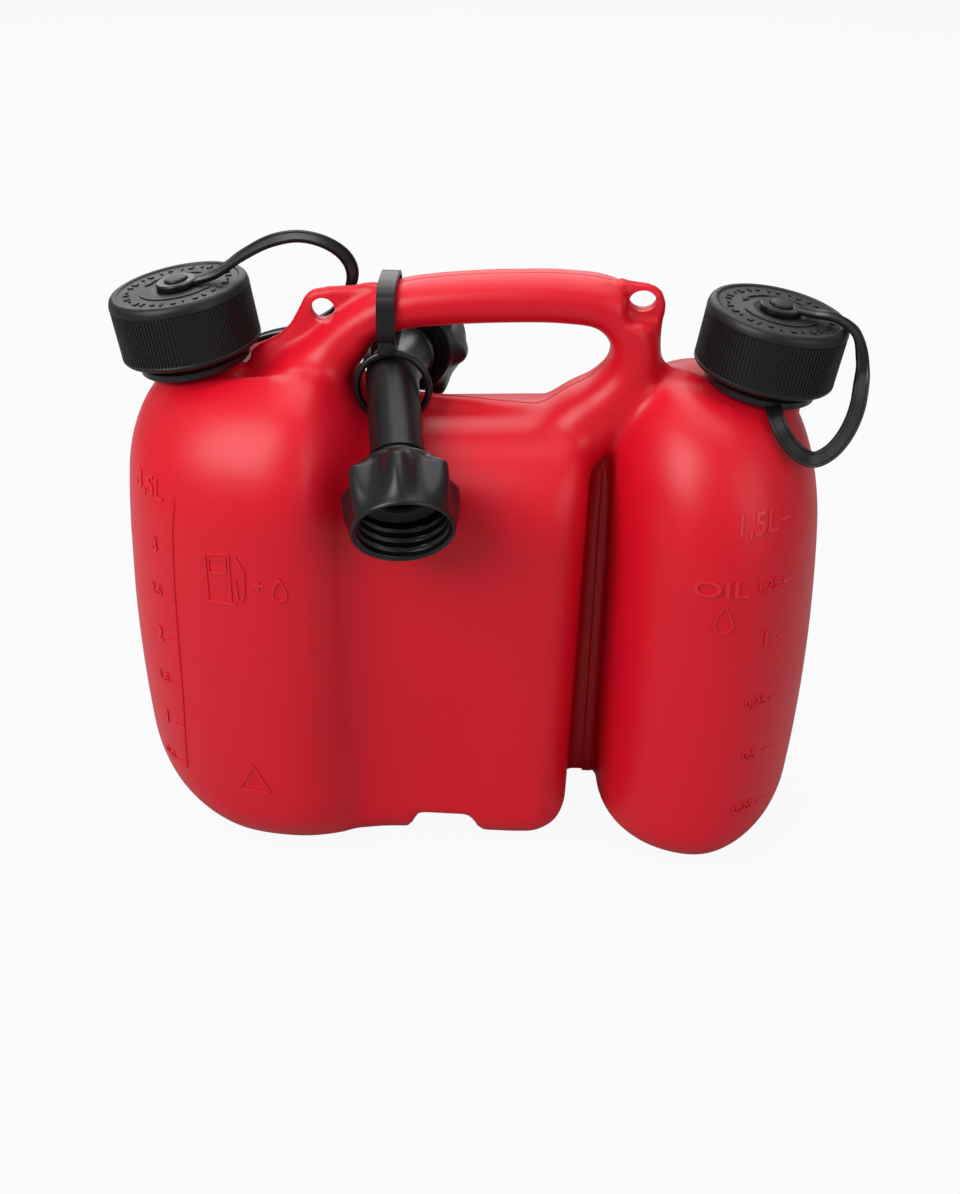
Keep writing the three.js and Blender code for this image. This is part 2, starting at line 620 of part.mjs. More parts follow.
add(can, 'spout_tube', toGeometry(spoutTube()), blackPlastic);
[['front', FRONT_DIR, FRONT_NUT_AT], ['rear', REAR_DIR, REAR_NUT_AT]].forEach(([end, dir, at]) => {
  const place = alongAxis(dir, at);
  const nut = add(can, `spout_nut_${end}`, toGeometry(solid(unionNut())), blackPlastic);
  const seal = add(can, `spout_seal_${end}`, toGeometry(solid(flatSeal())), sealRubber);
  [nut, seal].forEach((mesh) => mesh.applyMatrix4(place));
});
add(can, 'spout_strap', toGeometry(spoutStrap()), blackPlastic);

// The origin is under the middle of the whole can, on the floor
can.updateMatrixWorld(true);
const bounds = new THREE.Box3().setFromObject(can, true);
can.position.set(-(bounds.min.x + bounds.max.x) / 2, -(bounds.min.y + bounds.max.y) / 2, -bounds.min.z);
can.updateMatrixWorld(true);

export default can;
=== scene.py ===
"""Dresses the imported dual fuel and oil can: red blow moulded body, ribbed caps, tethers and elbow spout."""

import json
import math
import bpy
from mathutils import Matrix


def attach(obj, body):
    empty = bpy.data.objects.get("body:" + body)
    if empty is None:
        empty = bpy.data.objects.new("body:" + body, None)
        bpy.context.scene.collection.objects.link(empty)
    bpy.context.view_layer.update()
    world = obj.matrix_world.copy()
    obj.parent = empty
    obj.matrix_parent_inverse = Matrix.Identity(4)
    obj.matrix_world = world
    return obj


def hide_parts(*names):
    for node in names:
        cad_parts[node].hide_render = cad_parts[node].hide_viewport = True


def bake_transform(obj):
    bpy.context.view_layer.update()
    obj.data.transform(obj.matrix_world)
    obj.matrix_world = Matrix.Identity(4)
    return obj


bl_info = {
    "name": "Dual fuel and oil can",
    "version": (1, 0, 0),
    "blender": (4, 5, 0),
    "location": "View3D > Sidebar > Can",
    "description": "Builds the body, caps, tethers, spout and marks of a dual fuel and oil can",
    "category": "Add Mesh",
}

import bpy
import numpy as np
from mathutils import Matrix, Vector
from mathutils.bvhtree import BVHTree

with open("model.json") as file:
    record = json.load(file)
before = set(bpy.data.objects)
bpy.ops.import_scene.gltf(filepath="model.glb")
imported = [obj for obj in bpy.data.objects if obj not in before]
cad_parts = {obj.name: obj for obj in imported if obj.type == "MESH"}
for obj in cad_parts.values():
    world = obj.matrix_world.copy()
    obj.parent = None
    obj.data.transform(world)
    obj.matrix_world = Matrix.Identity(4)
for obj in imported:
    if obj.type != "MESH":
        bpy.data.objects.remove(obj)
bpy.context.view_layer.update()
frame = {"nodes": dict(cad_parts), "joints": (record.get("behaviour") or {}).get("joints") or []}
MM = 0.001
JOINTS = {joint["name"]: joint for joint in frame["joints"]}

# The part is drawn in millimetres about a centre of its own, and SHIFT moves it into the frame
FUEL_NECK = {"x": -115.9, "z": 209.8, "tilt": -math.radians(9.3)}
OIL_NECK = {"x": 119.0, "z": 207.0, "tilt": math.radians(9.3)}
SHIFT = np.array(JOINTS["fuel_cap_turn"]["pos_m"]) - np.array([FUEL_NECK["x"], 0, FUEL_NECK["z"]]) * MM
ELBOW = np.array([-32.8, -7.8, 212.1])
FRONT_DIR = np.array(JOINTS["front_nut_spin"]["axis"])
REAR_DIR = np.array(JOINTS["rear_nut_spin"]["axis"])
DRAWING = Matrix.Translation(Vector(SHIFT)) @ Matrix.Scale(MM, 4)
NECK_TOP = 27.0
CAP_RADIUS = 29.0
TOP_SLOPE = 0.1638
FUEL_LEFT = -150.5
PANEL_DEPTH = 49.0
LOBE_DEPTH = 67.0
OIL_LEFT = 60.5
OIL_RIGHT = 151.3
OIL_DEPTH = 66.0
OIL_POWER = 2.15


class CanSizes(bpy.types.PropertyGroup):
    """Sizes of the details that the scene adds to the frame."""

    voxel: bpy.props.FloatProperty(
        name="Body mesh size", description="Width of one face of the body's skin",
        default=0.00178, min=0.001, max=0.004, subtype="DISTANCE", unit="LENGTH")
    rib_count: bpy.props.IntProperty(
        name="Cap ribs", description="Fine grip ribs round each cap", default=120, min=40, max=160)
    rib_depth: bpy.props.FloatProperty(
        name="Rib depth", description="Height of a cap rib",
        default=0.0006, subtype="DISTANCE", unit="LENGTH")
    mark_height: bpy.props.FloatProperty(
        name="Mark height", description="How far the marks stand out of the body",
        default=0.0006, subtype="DISTANCE", unit="LENGTH")
    thread_pitch: bpy.props.FloatProperty(
        name="Thread pitch", description="Rise of one turn of the screw threads",
        default=0.0045, subtype="DISTANCE", unit="LENGTH")


class CanColours(bpy.types.PropertyGroup):
    """Colours of the can's finishes."""

    red: bpy.props.FloatVectorProperty(
        name="Body red", description="Body plastic", default=(0.62, 0.003, 0.014), size=3, subtype="COLOR")
    black: bpy.props.FloatVectorProperty(
        name="Spout black", description="Spout, strap and tether plastic", default=(0.0045, 0.0045, 0.005),
        size=3, subtype="COLOR")
    cap: bpy.props.FloatVectorProperty(
        name="Cap black", description="Cap plastic", default=(0.0045, 0.0045, 0.005), size=3, subtype="COLOR")
    rubber: bpy.props.FloatVectorProperty(
        name="Seal rubber", description="Flat seals", default=(0.03, 0.03, 0.032), size=3, subtype="COLOR")
    floor: bpy.props.FloatVectorProperty(
        name="Floor", description="Studio floor", default=(0.35, 0.35, 0.35), size=3, subtype="COLOR")


# Shader building

class Wire:
    """A number socket that joins Python sums into Math nodes."""

    def __init__(self, tree, socket):
        self.tree = tree
        self.socket = socket

    def sum(self, operation, *values, clamp=False):
        node = self.tree.nodes.new("ShaderNodeMath")
        node.operation = operation
        node.use_clamp = clamp
        for slot, value in zip(node.inputs, values):
            if isinstance(value, Wire):
                self.tree.links.new(value.socket, slot)
            else:
                slot.default_value = value
        return Wire(self.tree, node.outputs[0])

    def __add__(self, other):
        return self.sum("ADD", self, other)

    def __radd__(self, other):
        return self.sum("ADD", other, self)

    def __sub__(self, other):
        return self.sum("SUBTRACT", self, other)

    def __rsub__(self, other):
        return self.sum("SUBTRACT", other, self)

    def __mul__(self, other):
        return self.sum("MULTIPLY", self, other)

    def __rmul__(self, other):
        return self.sum("MULTIPLY", other, self)

    def __abs__(self):
        return self.sum("ABSOLUTE", self)

    def clamped(self):
        return self.sum("ADD", self, 0.0, clamp=True)


class Finish:
    """One material, with a Principled shader and a method that adds any other node."""

    def __init__(self, name, colour, roughness):
        self.material = bpy.data.materials.new(name)
        self.material.use_nodes = True
        self.tree = self.material.node_tree
        self.shader = self.tree.nodes["Principled BSDF"]
        self.shader.inputs["Base Color"].default_value = (*colour, 1)
        self.shader.inputs["Roughness"].default_value = roughness
        self.place = self.node("ShaderNodeTexCoord").outputs["Object"]

    def node(self, kind, settings=None, **values):
        node = self.tree.nodes.new(kind)
        for name, value in (settings or {}).items():
            setattr(node, name, value)
        for name, value in values.items():
            socket = node.inputs[name.replace("_", " ")]
            if isinstance(value, Wire):
                value = value.socket
            if isinstance(value, bpy.types.NodeSocket):
                self.tree.links.new(value, socket)
            else:
                socket.default_value = value
        return node

    def noise(self, scale, detail=2.0, roughness=0.5):
        made = self.node("ShaderNodeTexNoise", Vector=self.place, Scale=scale, Detail=detail,
                         Roughness=roughness)
        return Wire(self.tree, made.outputs["Fac"])

    def stretched_noise(self, scale, stretch):
        turned = self.node("ShaderNodeMapping", Vector=self.place, Scale=stretch)
        made = self.node("ShaderNodeTexNoise", Vector=turned.outputs[0], Scale=scale, Detail=3.0)
        return Wire(self.tree, made.outputs["Fac"])

    def axis(self, name):
        split = self.node("ShaderNodeSeparateXYZ", Vector=self.place)
        return Wire(self.tree, split.outputs[name])

    def tone(self, mask, low, high):
        mixed = self.node("ShaderNodeMix", {"data_type": "RGBA"})
        self.tree.links.new(mask.socket, mixed.inputs["Factor"])
        mixed.inputs[6].default_value = (*low, 1)
        mixed.inputs[7].default_value = (*high, 1)
        self.tree.links.new(mixed.outputs[2], self.shader.inputs["Base Color"])

    def rough(self, value):
        self.tree.links.new(value.socket, self.shader.inputs["Roughness"])

    def bump(self, height, distance, strength=1.0, under=None):
        made = self.node("ShaderNodeBump", Height=height, Distance=distance, Strength=strength)
        if under is not None:
            self.tree.links.new(under.outputs[0], made.inputs["Normal"])
        self.tree.links.new(made.outputs[0], self.shader.inputs["Normal"])
        return made


def scaled(colour, factor):
    return tuple(min(1.0, c * factor) for c in colour)


FINISHES = {}


def make_finishes(colours):
    red = tuple(colours.red)
    body = Finish("red_polyethylene", red, 0.4)
    cloud = body.noise(9.0, 3.0)
    flow = body.stretched_noise(60.0, (1.0, 1.0, 0.12))
    light = (red[0] * 1.1, red[1] * 1.6, red[2] * 1.5)
    body.tone((cloud * 0.7 + flow * 0.3).clamped(), scaled(red, 0.86), light)
    body.rough(0.3 + body.noise(35.0, 4.0) * 0.1 + flow * 0.06)
    seam = (1.0 - abs(body.axis("Y") - float(SHIFT[1])) * (1 / 0.0008)).clamped()
    grain = body.noise(700.0, 3.0)
    ripple = body.bump(body.noise(22.0, 2.0), 0.0009, 0.35)
    fine = body.bump(grain, 0.00006, 0.6, ripple)
    body.bump(seam, 0.0006, 0.9, fine)
    body.shader.inputs["Specular IOR Level"].default_value = 0.32
    body.shader.inputs["Subsurface Weight"].default_value = 0.06
    body.shader.inputs["Subsurface Radius"].default_value = (1.0, 0.15, 0.12)
    body.shader.inputs["Subsurface Scale"].default_value = 0.004

    marks = Finish("red_marks", red, 0.36)
    marks.tone(marks.noise(60.0), scaled(red, 0.92), (red[0] * 1.15, red[1] * 2.0, red[2] * 2.0))
    marks.rough(0.3 + marks.noise(120.0) * 0.12)
    marks.bump(marks.noise(900.0), 0.00005, 0.5)

    black = Finish("black_plastic", colours.black, 0.34)
    black.tone(black.noise(30.0), scaled(colours.black, 0.8), scaled(colours.black, 1.35))
    black.rough(0.24 + black.noise(45.0, 4.0) * 0.16)
    low = black.bump(black.noise(50.0, 2.0), 0.0004, 0.35)
    black.bump(black.noise(1400.0), 0.00003, 0.5, low)
    black.shader.inputs["Specular IOR Level"].default_value = 0.4

    cap = Finish("cap_plastic", colours.cap, 0.5)
    cap.shader.inputs["Specular IOR Level"].default_value = 0.35
    cap.tone(cap.noise(40.0), scaled(colours.cap, 0.8), scaled(colours.cap, 1.5))
    cap.rough(0.36 + cap.noise(80.0, 3.0) * 0.16)
    cap.bump(cap.noise(1100.0, 3.0), 0.00006, 0.7)

    rubber = Finish("seal_rubber", colours.rubber, 0.75)
    rubber.tone(rubber.noise(120.0), scaled(colours.rubber, 0.7), scaled(colours.rubber, 1.3))
    rubber.rough(0.68 + rubber.noise(200.0) * 0.18)
    rubber.bump(rubber.noise(1500.0), 0.00005, 0.8)

    floor = Finish("studio_floor", colours.floor, 0.7)
    glow = floor.node("ShaderNodeEmission", Color=(1, 1, 1, 1), Strength=1.0)
    path = floor.node("ShaderNodeLightPath")
    seen = Wire(floor.tree, path.outputs["Is Camera Ray"])
    blend = floor.node("ShaderNodeMixShader")
    floor.tree.links.new((seen * 0.93).socket, blend.inputs[0])
    floor.tree.links.new(floor.shader.outputs[0], blend.inputs[1])
    floor.tree.links.new(glow.outputs[0], blend.inputs[2])
    floor.tree.links.new(blend.outputs[0], floor.tree.nodes["Material Output"].inputs[0])
    FINISHES.update(body=body, marks=marks, black=black, cap=cap, rubber=rubber, floor=floor)


# Mesh helpers

def clear_selection():
    if bpy.context.object and bpy.context.object.mode != "OBJECT":
        bpy.ops.object.mode_set(mode="OBJECT")
    bpy.ops.object.select_all(action="DESELECT")


def take(*pieces):
    clear_selection()
    for piece in pieces:
        piece.select_set(True)
    bpy.context.view_layer.objects.active = pieces[0]
    return pieces[0]


def settle(piece):
    take(piece)
    bpy.ops.object.transform_apply(location=True, rotation=True, scale=True)
    return piece


def edit(piece, *steps):
    """Runs operators on the whole mesh in edit mode."""
    take(piece)
    bpy.ops.object.mode_set(mode="EDIT")
    bpy.ops.mesh.select_all(action="SELECT")
    for step in steps:
        step()
    bpy.ops.object.mode_set(mode="OBJECT")
    return piece


def everything():
    bpy.ops.mesh.select_all(action="SELECT")


def doubles(distance=1e-6):
    return lambda: bpy.ops.mesh.remove_doubles(threshold=distance)


def loose():
    bpy.ops.mesh.delete_loose(use_verts=True, use_edges=True, use_faces=False)


def spun(steps, angle=2 * math.pi, copies=False, centre=(0, 0, 0), axis=(0, 0, 1)):
    """A spin by the right hand rule, which the operator's own angle turns against."""
    return lambda: bpy.ops.mesh.spin(steps=steps, angle=-angle, dupli=copies, center=centre, axis=axis)


def drawn_out(x, y, z):
    return lambda: bpy.ops.mesh.extrude_region_move(TRANSFORM_OT_translate={"value": (x, y, z)})


def outwards():
    bpy.ops.mesh.normals_make_consistent(inside=False)


def modify(piece, kind, **settings):
    take(piece)
    modifier = piece.modifiers.new(kind.title(), kind)
    for name, value in settings.items():
        setattr(modifier, name, value)
    bpy.ops.object.modifier_apply(modifier=modifier.name)
    return piece


def one_piece(pieces, name):
    take(*pieces)
    if len(pieces) > 1:
        bpy.ops.object.join()
    made = bpy.context.view_layer.objects.active
    made.name = name
    made.data.name = name
    return made


def finish(piece, finish_name, body, angle=35.0):
    settle(piece)
    piece.data.materials.clear()
    piece.data.materials.append(FINISHES[finish_name].material)
    take(piece)
    bpy.ops.object.shade_smooth_by_angle(angle=math.radians(angle))
    if body:
        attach(piece, body)
    return piece


def from_points(name, points_mm, faces):
    """A mesh from points of the part's own drawing, in millimetres."""
    mesh = bpy.data.meshes.new(name)
    placed = np.asarray(points_mm, float) * MM + SHIFT
    mesh.from_pydata(placed.tolist(), [], faces)
    mesh.update()
    piece = bpy.data.objects.new(name, mesh)
    bpy.context.scene.collection.objects.link(piece)
    return piece


def skin(name, rings, closed=False):
    """Skins rings of points; open ends are closed by a centre point."""
    rings = [np.asarray(ring, float) for ring in rings]
    count = len(rings[0])
    faces = []
    last = len(rings) if closed else len(rings) - 1
    for r in range(last):
        above = (r + 1) % len(rings)
        for i in range(count):
            j = (i + 1) % count
            faces.append((r * count + i, r * count + j, above * count + j, above * count + i))
    points = list(np.concatenate(rings))
    if not closed:
        for r, flip in ((0, True), (len(rings) - 1, False)):
            centre = len(points)
            points.append(rings[r].mean(0))
            for i in range(count):
                j = (i + 1) % count
                face = (centre, r * count + i, r * count + j)
                faces.append(face[::-1] if flip else face)
    piece = from_points(name, points, faces)
    return edit(piece, outwards)


def neck_place(neck, points):
    """Points about a neck's own axis, moved into the drawing."""
    c, s = math.cos(neck["tilt"]), math.sin(neck["tilt"])
    p = np.asarray(points, float)
    return np.stack([neck["x"] + c * p[:, 0] + s * p[:, 2], p[:, 1],
                     neck["z"] - s * p[:, 0] + c * p[:, 2]], 1)


def neck_frame(neck):
    return Matrix.Translation((neck["x"], 0, neck["z"])) @ Matrix.Rotation(neck["tilt"], 4, "Y")


def leg_frame(direction, distance):
    """The place of a spout leg's own axis, at a distance from the elbow."""
    turn = Vector((0, 0, 1)).rotation_difference(Vector(direction)).to_matrix().to_4x4()
    return Matrix.Translation(Vector(ELBOW + direction * distance)) @ turn


def moved(piece, place=Matrix()):
    """Takes a piece from the drawing, in millimetres, into the frame."""
    settle(piece)
    piece.data.transform(DRAWING @ place)
    return piece


def outline(name, points, fill="NOTHING"):
    """A circle primitive whose points are moved onto a drawn outline."""
    clear_selection()
    bpy.ops.mesh.primitive_circle_add(vertices=len(points), fill_type=fill, location=(0, 0, 0))
    piece = bpy.context.object
    piece.name = name
    for vertex, point in zip(piece.data.vertices, points):
        vertex.co = point
    return piece


def turned(name, profile, count, place):
    """Spins a closed profile of radius and height about the axis of its place."""
    piece = outline(name, [(radius, 0, height) for radius, height in profile])
    edit(piece, spun(count), everything, doubles(0.001), loose, everything, outwards)
    return moved(piece, place)


def smooth(a, b, x):
    t = np.clip((x - a) / (b - a), 0, 1)
    return t * t * (3 - 2 * t)


def curve(points, steps):
    """A centripetal curve through points, with each sample's place along the list."""
    p = np.asarray(points, float)
    p = np.vstack([2 * p[0] - p[1], p, 2 * p[-1] - p[-2]])
    spans = len(p) - 3
    made = []
    for u in np.linspace(0, spans, steps + 1):
        k = min(int(u), spans - 1)
        t = u - k
        a, b, c, d = p[k:k + 4]
        k0, k1, k2 = (max(float(np.linalg.norm(v)), 1e-9) ** 0.5 for v in (b - a, c - b, d - c))
        m1 = ((b - a) / k0 - (c - a) / (k0 + k1) + (c - b) / k1) * k1
        m2 = ((c - b) / k1 - (d - b) / (k1 + k2) + (d - c) / k2) * k1
        made.append(b + m1 * t + (3 * (c - b) - 2 * m1 - m2) * t * t + (2 * (b - c) + m1 + m2) * t ** 3)
    return np.array(made), np.linspace(0, spans, steps + 1)


def spaced(points, count):
    """Points at equal steps along a line."""
    gaps = np.r_[0, np.cumsum(np.linalg.norm(np.diff(points, axis=0), axis=1))]
    at = np.linspace(0, gaps[-1], count + 1)
    return np.stack([np.interp(at, gaps, points[:, k]) for k in range(points.shape[1])], 1)


def unit(v):
    return v / np.linalg.norm(v)


def superellipse(count, power):
    a = np.arange(count) * 2 * math.pi / count
    c, s = np.cos(a), np.sin(a)
    return np.stack([np.sign(c) * np.abs(c) ** (2 / power), np.sign(s) * np.abs(s) ** (2 / power)], 1)


def sweep(name, stations, steps, shape):
    """Sweeps a shape along stations of point, broad direction, half width and half thickness."""
    line, where = curve([s[0] for s in stations], steps)
    rings = []
    for i, u in enumerate(where):
        before, after = line[max(0, i - 1)], line[min(len(line) - 1, i + 1)]
        forward = unit(after - before)
        k = min(int(u), len(stations) - 2)
        ease = float(smooth(0, 1, u - k))
        a, b = stations[k], stations[k + 1]
        broad = np.asarray(a[1], float) * (1 - ease) + np.asarray(b[1], float) * ease
        up = unit(np.cross(forward, broad))
        level = np.cross(up, forward)
        side = a[2] * (1 - ease) + b[2] * ease
        thick = a[3] * (1 - ease) + b[3] * ease
        rings.append(line[i] + np.outer(shape[:, 0] * side, level) + np.outer(shape[:, 1] * thick, up))
    return skin(name, rings)


def plate(name, corners, half):
    """A flat plate across the can, drawn out from its corners of X and Z."""
    piece = outline(name, [(x, -half, z) for x, z in corners], "NGON")
    edit(piece, drawn_out(0, 2 * half, 0), everything, outwards)
    return moved(piece)


def cut(piece, cutter, operation="DIFFERENCE"):
    modify(piece, "BOOLEAN", object=cutter, operation=operation, solver="EXACT")
    bpy.data.objects.remove(cutter, do_unlink=True)
    return piece


# Body

FUEL_OUTLINE = [
    (-150.5, 0), (-149.4, 12), (-146, 25), (-139, 38.5), (-128, 50), (-113.5, 58.6), (-96, 64.4),
    (-76, 67.3), (-63, 65.6), (-54.6, 60.6), (-48.5, 54.4), (-41, 50.6), (-31, 49), (0, 49), (28, 48.8),
    (39, 47.6), (46.5, 42.5), (50, 34), (51, 22), (51, 0),
]
HANDLE_LINE = [
    (-97, 160, 38, 24), (-82, 184, 34, 22), (-67.5, 205, 22, 16.5), (-55, 221.2, 15, 11.2),
    (-44, 232.8, 14, 9), (-30, 239.2, 14, 9.3), (-8, 242.7, 14, 9.7), (15, 244.4, 14, 9.8),
    (38, 244.8, 14, 9.9), (55.5, 242, 14, 10), (65.6, 231.4, 14.3, 10), (67, 217, 15, 10.8),
    (60.8, 203.4, 17, 13.4), (48, 191, 21, 16.5), (33, 178, 27, 18),
]
LEFT_LUG = [
    (-93, 206), (-93, 217), (-88.4, 220.6), (-81.1, 224.4), (-76.4, 228.2), (-72.4, 235), (-68.9, 242),
    (-65.4, 244.8), (-61, 245.6), (-50, 246.6), (-39, 248.6), (-34, 244), (-48, 222), (-66, 200),
]
RIGHT_LUG = [
    (62, 236), (56, 251), (60, 252.9), (67.6, 251.6), (73.6, 250.6), (77.4, 247.4), (78.7, 242.4),
    (77.6, 232), (77.5, 222.5), (79.3, 217.8), (83.3, 215.2), (89, 214.2), (96, 212), (96, 190),
    (66, 190), (64, 205), (66, 222),
]


def round_inset(depth, reach, height):
    t = np.maximum(0, 1 - depth / height)
    return reach * (1 - np.sqrt(np.maximum(0, 1 - t * t)))


def fuel_top(x):
    lobe = 210 + TOP_SLOPE * (np.minimum(x, -74) + 116)
    ledge = 193.9 + 0.046 * x
    return lobe + (ledge - lobe) * smooth(-66, -36, x)


def oil_top(x):
    return 207.2 - TOP_SLOPE * (x - 117.5)


def mirrored(half_x, half_y, half_z):
    """A full ring from its front half, which runs from the mould line to the mould line."""
    front = np.stack([half_x, -half_y, half_z], 1)
    back = front[1:-1][::-1] * (1, -1, 1)
    return np.vstack([front, back])


def body_levels(count_low, count_high, low, high):
    base = low * np.linspace(0, 1, count_low) ** 2
    top = high * np.linspace(1, 0, count_high) ** 2
    return [(z, None) for z in base] + [(None, below) for below in top]


def fuel_tank():
    line, _ = curve([(x, y, 0) for x, y in FUEL_OUTLINE], 600)
    edge = spaced(line, 110)
    px, py = edge[:, 0], edge[:, 1]
    rings = []
    for z, below in body_levels(46, 40, 112.0, 62.0):
        top = fuel_top(px)
        height = top - below if z is None else np.full_like(px, z)
        from_top = top - height
        lobe = 1 - smooth(-64, -40, px)
        barrel = ((height - 98) / 37) ** 2
        left = 0.9 * barrel + round_inset(height, 25, 42) + round_inset(from_top, 19, 36)
        right = 4.5 * (1 - np.minimum(1, height / 180)) + round_inset(height, 12, 13)
        right = right + round_inset(from_top, 6, 22)
        lobe_in = 0.35 * barrel + round_inset(height, 20, 24) + round_inset(from_top, 43, 52)
        panel_in = round_inset(height, 12, 13) + round_inset(from_top, 41.5, 44)
        full = PANEL_DEPTH + (LOBE_DEPTH - PANEL_DEPTH) * lobe
        inset = panel_in + (lobe_in - panel_in) * lobe
        x = px + left * (1 - smooth(FUEL_LEFT, -84, px)) - right * smooth(18, 51, px)
        level = fuel_top(x) - below if z is None else height
        rings.append(mirrored(x, py * (1 - inset / full), level))
    tank = skin("fuel_tank", rings)
    notch = [(-26.5, -5), (-25.5, 0), (-20, 13.6), (3.4, 13.6), (9.6, 0), (10.6, -5)]
    return cut(tank, plate("foot_notch", notch, 80))


def oil_tank():
    middle, half_width = (OIL_LEFT + OIL_RIGHT) / 2, (OIL_RIGHT - OIL_LEFT) / 2
    a = np.linspace(math.pi, 0, 80)
    ux = np.sign(np.cos(a)) * np.abs(np.cos(a)) ** (2 / OIL_POWER)
    uy = np.maximum(0, np.sin(a)) ** (2 / OIL_POWER)
    outer = middle + half_width * ux
    rings = []
    for z, below in body_levels(46, 44, 110.0, 78.0):
        top = oil_top(outer)
        height = top - below if z is None else np.full_like(outer, z)
        from_top = top - height
        barrel = ((height - 95) / 45) ** 2
        left = round_inset(height, 7, 11) + round_inset(from_top, 23, 46)
        right = 1.3 * barrel + round_inset(height, 21, 30) + round_inset(from_top, 16, 50)
        inset = 0.5 * barrel + round_inset(height, 18, 20) + round_inset(from_top, 42, 72)
        left_share = 1 - smooth(OIL_LEFT, middle + 15, outer)
        right_share = smooth(middle - 15, OIL_RIGHT, outer)
        x = outer + left * left_share - right * right_share
        level = oil_top(x) - below if z is None else height
        rings.append(mirrored(x, (OIL_DEPTH - inset) * uy, level))
    return skin("oil_tank", rings)


def oval_rod(name, x, z, half_width, half_height):
    clear_selection()
    bpy.ops.mesh.primitive_cylinder_add(
        vertices=48, radius=1, depth=24, location=(x, 0, z), rotation=(math.pi / 2, 0, 0),
        scale=(half_width, half_height, 1))
    bpy.context.object.name = name
    return moved(bpy.context.object)


def bore_rod(name, neck):
    clear_selection()
    bpy.ops.mesh.primitive_cylinder_add(vertices=64, radius=15, depth=80, location=(0, 0, -30))
    bpy.context.object.name = name
    return moved(bpy.context.object, neck_frame(neck))


def body_skin(sizes):
    across = (0, 1, 0)
    stations = [(np.array([x, 0.0, z]), across, side, up) for x, z, side, up in HANDLE_LINE]
    handle = sweep("handle", stations, 150, superellipse(48, 2.4))
    pocket = [(62.2, 237.6), (75, 236.2), (84, 238), (84, 256), (64.5, 256), (61.6, 250)]
    cut(handle, plate("pocket", pocket, 40))
    collars = []
    for neck in (FUEL_NECK, OIL_NECK):
        profile = [(0, -14), (19, -14), (19, -0.4), (17.4, 1.4), (0, 1.4)]
        collars.append(turned("neck_base", profile, 64, neck_frame(neck)))
    parts = [
        fuel_tank(), oil_tank(), handle,
        plate("left_lug", LEFT_LUG, 2.9), plate("right_lug", RIGHT_LUG, 2.9),
        plate("web", [(40, 8.8), (72, 8.8), (72, 198), (60, 200), (40, 180)], 3.2),
        *collars,
    ]
    body = one_piece(parts, "can_body")
    modify(body, "REMESH", mode="VOXEL", voxel_size=sizes.voxel, adaptivity=0.0)
    roots = body.vertex_groups.new(name="roots")
    drawn = (np.array([v.co for v in body.data.vertices]) - SHIFT) / MM
    x, y, z = drawn.T
    left_root = smooth(36, 15, np.hypot(x + 68, z - 212))
    near = np.maximum(left_root, smooth(42, 18, np.hypot(x - 56, z - 196)))
    near = np.maximum(near, 0.75 * smooth(26, 10, np.hypot(x + 96, z - 208)))
    near = np.maximum(near, 0.8 * smooth(44, 30, np.abs(x - 12)) * smooth(13, 5, np.abs(z - 196)))
    near = near * smooth(2.5, 6, np.abs(y) + np.maximum(0, 226 - z) * 0.2)
    weights = np.clip(near, 0, 1)
    for w in (0.25, 0.5, 0.75, 1.0):
        chosen = np.nonzero((weights > w - 0.25) & (weights <= w))[0].tolist()
        roots.add(chosen, w, "REPLACE")
    modify(body, "SMOOTH", factor=0.5, iterations=36, vertex_group="roots")
    modify(body, "SMOOTH", factor=0.5, iterations=5)
    cutters = [
        oval_rod("lug_hole", -61.3, 236.7, 5.2, 5.2), oval_rod("lug_slot", 69.1, 244.8, 5.5, 4.4),
        bore_rod("fuel_bore", FUEL_NECK), bore_rod("oil_bore", OIL_NECK),
    ]
    return cut(body, one_piece(cutters, "cutters"))


def thread(name, neck, radius, turns, pitch, start):
    """A ridge that winds up a neck."""
    shape = np.array([(-0.2, -1.3), (1.3, -0.5), (1.3, 0.5), (-0.2, 1.3)])
    rings = []
    steps = int(turns * 64)
    for i in range(steps + 1):
        a = 2 * math.pi * i / 64
        height = start + pitch * i / 64
        fade = min(1.0, i / 10, (steps - i) / 10)
        r = radius + shape[:, 0] * (0.2 + 0.8 * fade)
        h = height + shape[:, 1] * (0.3 + 0.7 * fade)
        rings.append(neck_place(neck, np.stack([r * math.cos(a), r * math.sin(a), h], 1)))
    return skin(name, rings)


def screw_neck(name, neck, sizes):
    profile = [
        (15.0, -12), (16.2, -12), (17.4, -2), (17.4, NECK_TOP - 1.2), (17.1, NECK_TOP - 0.4),
        (16.4, NECK_TOP), (15.7, NECK_TOP), (15.15, NECK_TOP - 0.5), (15.0, NECK_TOP - 1.2),
    ]
    tube = turned(name, profile, 96, neck_frame(neck))
    pitch = sizes.thread_pitch / MM
    ridge = thread("thread", neck, 17.3, 2.6, pitch, 10.5)
    return one_piece([tube, ridge], name)


class CAN_OT_body(bpy.types.Operator):
    """Builds the red body with both tanks, the handle, the lugs, the web and the necks"""

    bl_idname = "can.body"
    bl_label = "Body and necks"

    def execute(self, context):
        sizes = context.scene.can_sizes
        body = finish(body_skin(sizes), "body", "can", 60)
        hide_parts("can_shell")
        for name, neck in (("fuel_neck", FUEL_NECK), ("oil_neck", OIL_NECK)):
            finish(screw_neck(name, neck, sizes), "body", "can", 40)
        for side in (-1, 1):
            corners = [(54.2, 8.9), (58.8, 8.9), (60.8, 178), (56.2, 178)]
            strip = plate("ridge", corners, 1.0)
            strip.data.transform(Matrix.Translation((0, side * 3.4 * MM, 0)))
            modify(strip, "BEVEL", width=0.0007, segments=3)
            strip.name = "web_ridge_front" if side < 0 else "web_ridge_back"
            finish(strip, "body", "can")
        return {"FINISHED"}


